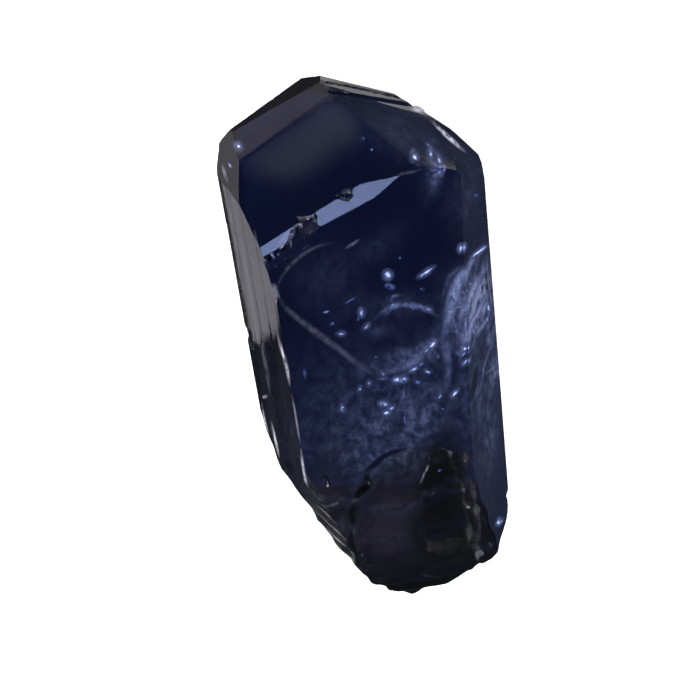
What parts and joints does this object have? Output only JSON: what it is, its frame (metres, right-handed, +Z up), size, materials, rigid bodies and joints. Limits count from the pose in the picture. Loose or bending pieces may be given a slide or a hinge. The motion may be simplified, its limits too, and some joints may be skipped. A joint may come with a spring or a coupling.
{
  "type": "tanzanite crystal",
  "caption": "Single rough gem crystal: a stout near-black indigo prism with a bevelled, stepped tip, one finely stepped side and a broken foot, lying on its flat back face.",
  "frame": {"origin": "on the surface that the crystal lies on, under the middle of its box", "axes": "+Z up, away from the back prism face that it lies on; +Y along the crystal towards its natural tip; +X towards the bevelled right side"},
  "size_m": [0.0157, 0.0376, 0.012],
  "materials": {
    "tanzanite": "clear, deeply coloured indigo crystal with glassy natural faces, fine lengthwise striations and a dull, rippled broken foot"
  },
  "bodies": {
    "root": {"tanzanite_crystal": "tanzanite"}
  },
  "joints": []
}
